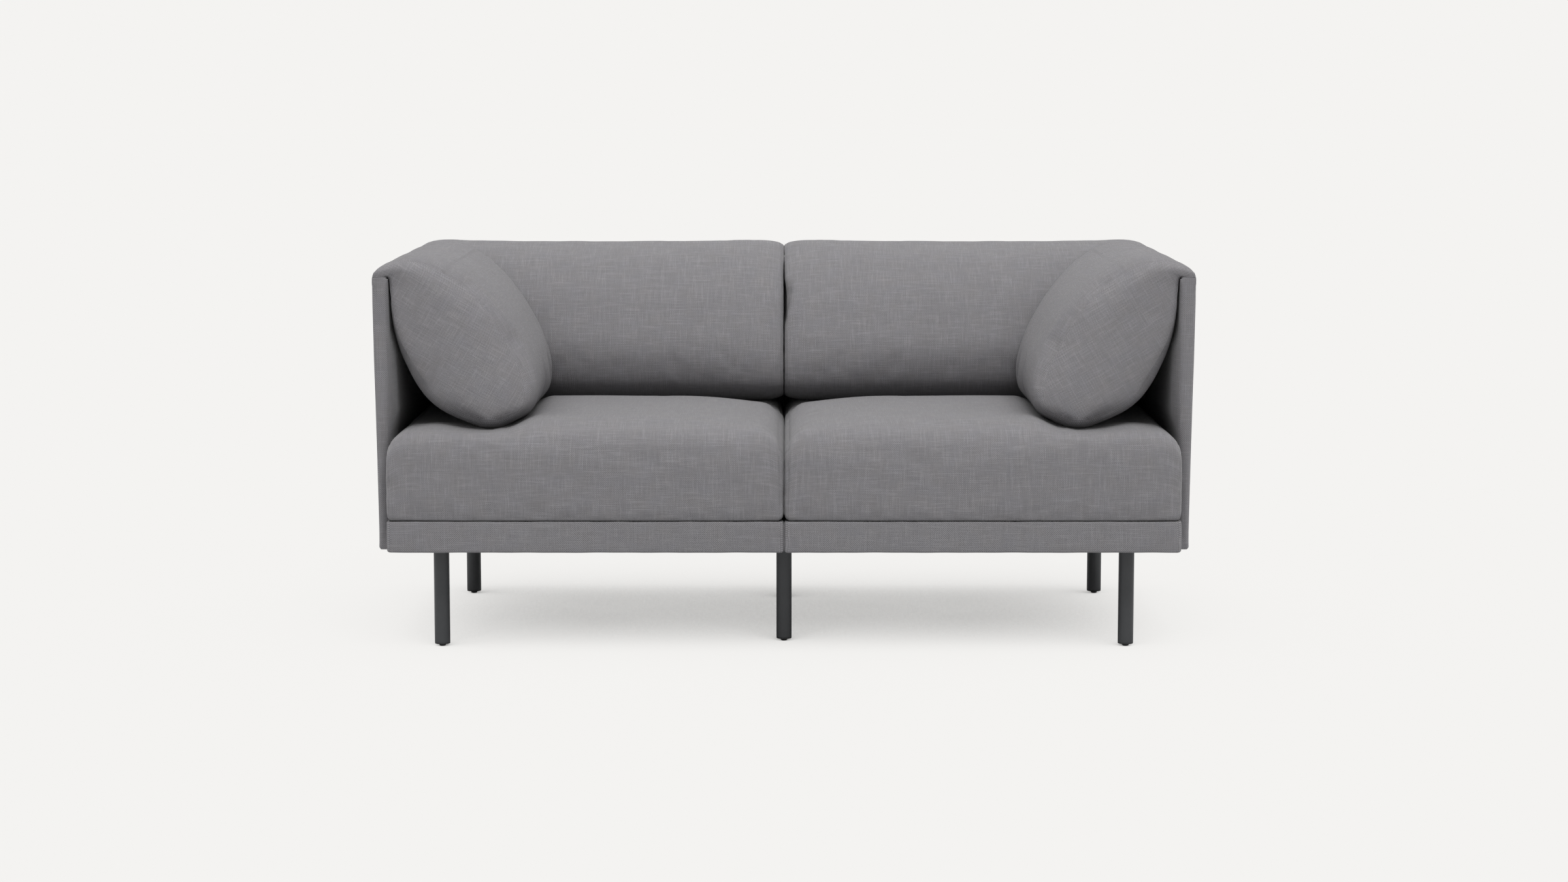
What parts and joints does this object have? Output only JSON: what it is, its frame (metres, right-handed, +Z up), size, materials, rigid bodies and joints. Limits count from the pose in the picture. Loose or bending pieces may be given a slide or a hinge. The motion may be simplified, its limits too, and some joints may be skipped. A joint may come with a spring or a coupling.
{
  "type": "two-seater sofa",
  "caption": "Low two-seater sofa: upright padded arm and back panels with soft cushions hung over them, loose seat cushions on slim boxed bases and round steel legs.",
  "frame": {"origin": "on the floor, under the middle of the sofa's bounding box", "axes": "+X to the right seen from the front, +Y from the front to the back, +Z up"},
  "size_m": [1.676, 0.884, 0.8063],
  "materials": {
    "cover_fabric": "matt woven upholstery fabric",
    "cushion_fabric": "matt woven upholstery fabric",
    "frame_wood": "plain plywood and softwood",
    "webbing": "elastic webbing",
    "lining": "thin felted dust cover",
    "leg_steel": "fine satin powder coat",
    "bracket_steel": "zinc plated",
    "foot_plastic": "moulded nylon"
  },
  "bodies": {
    "sofa": {"base_cover_left": "cover_fabric", "arm_left_panel_cover": "cover_fabric", "back_left_panel_cover": "cover_fabric", "back_cushion_left": "cushion_fabric", "front_rail_left": "frame_wood", "rear_rail_left": "frame_wood", "inner_rail_left": "frame_wood", "outer_rail_left": "frame_wood", "front_leg_plank_left": "frame_wood", "rear_leg_plank_left": "frame_wood", "arm_left_panel_board": "frame_wood", "back_left_panel_board": "frame_wood", "seat_webbing_left": "webbing", "dust_cover_left": "lining", "arm_bracket_front_left": "bracket_steel", "arm_bracket_rear_left": "bracket_steel", "back_bracket_inner_left": "bracket_steel", "back_bracket_outer_left": "bracket_steel", "base_cover_right": "cover_fabric", "arm_right_panel_cover": "cover_fabric", "back_right_panel_cover": "cover_fabric", "back_cushion_right": "cushion_fabric", "front_rail_right": "frame_wood", "rear_rail_right": "frame_wood", "inner_rail_right": "frame_wood", "outer_rail_right": "frame_wood", "front_leg_plank_right": "frame_wood", "rear_leg_plank_right": "frame_wood", "arm_right_panel_board": "frame_wood", "back_right_panel_board": "frame_wood", "seat_webbing_right": "webbing", "dust_cover_right": "lining", "arm_bracket_front_right": "bracket_steel", "arm_bracket_rear_right": "bracket_steel", "back_bracket_inner_right": "bracket_steel", "back_bracket_outer_right": "bracket_steel", "leg_front_left": "leg_steel", "end_plug_front_left": "foot_plastic", "leg_front_centre": "leg_steel", "end_plug_front_centre": "foot_plastic", "leg_front_right": "leg_steel", "end_plug_front_right": "foot_plastic", "leg_rear_left": "leg_steel", "end_plug_rear_left": "foot_plastic", "leg_rear_centre": "leg_steel", "end_plug_rear_centre": "foot_plastic", "leg_rear_right": "leg_steel", "end_plug_rear_right": "foot_plastic"},
    "left_arm_cushion": {"arm_cushion_left": "cushion_fabric"},
    "right_arm_cushion": {"arm_cushion_right": "cushion_fabric"},
    "left_seat_cushion": {"seat_cushion_left": "cushion_fabric"},
    "right_seat_cushion": {"seat_cushion_right": "cushion_fabric"},
    "front_left_glide": {"glide_front_left": "foot_plastic"},
    "front_centre_glide": {"glide_front_centre": "foot_plastic"},
    "front_right_glide": {"glide_front_right": "foot_plastic"},
    "rear_left_glide": {"glide_rear_left": "foot_plastic"},
    "rear_centre_glide": {"glide_rear_centre": "foot_plastic"},
    "rear_right_glide": {"glide_rear_right": "foot_plastic"}
  },
  "joints": [
    {"name": "left_arm_cushion_lift", "type": "hinge", "parent": "sofa", "child": "left_arm_cushion", "pos_m": [-0.838, -0.358, 0.7663], "axis": [0, -1, 0], "range_deg": [0, 95]},
    {"name": "right_arm_cushion_lift", "type": "hinge", "parent": "sofa", "child": "right_arm_cushion", "pos_m": [0.838, -0.358, 0.7663], "axis": [0, 1, 0], "range_deg": [0, 95]},
    {"name": "left_seat_cushion_slide", "type": "slide", "parent": "sofa", "child": "left_seat_cushion", "axis": [0, -1, 0], "range_m": [0, 0.88]},
    {"name": "right_seat_cushion_slide", "type": "slide", "parent": "sofa", "child": "right_seat_cushion", "axis": [0, -1, 0], "range_m": [0, 0.88]},
    {"name": "front_left_glide_height", "type": "slide", "parent": "sofa", "child": "front_left_glide", "axis": [0, 0, -1], "range_m": [0, 0.012]},
    {"name": "front_centre_glide_height", "type": "slide", "parent": "sofa", "child": "front_centre_glide", "axis": [0, 0, -1], "range_m": [0, 0.012]},
    {"name": "front_right_glide_height", "type": "slide", "parent": "sofa", "child": "front_right_glide", "axis": [0, 0, -1], "range_m": [0, 0.012]},
    {"name": "rear_left_glide_height", "type": "slide", "parent": "sofa", "child": "rear_left_glide", "axis": [0, 0, -1], "range_m": [0, 0.012]},
    {"name": "rear_centre_glide_height", "type": "slide", "parent": "sofa", "child": "rear_centre_glide", "axis": [0, 0, -1], "range_m": [0, 0.012]},
    {"name": "rear_right_glide_height", "type": "slide", "parent": "sofa", "child": "rear_right_glide", "axis": [0, 0, -1], "range_m": [0, 0.012]}
  ]
}
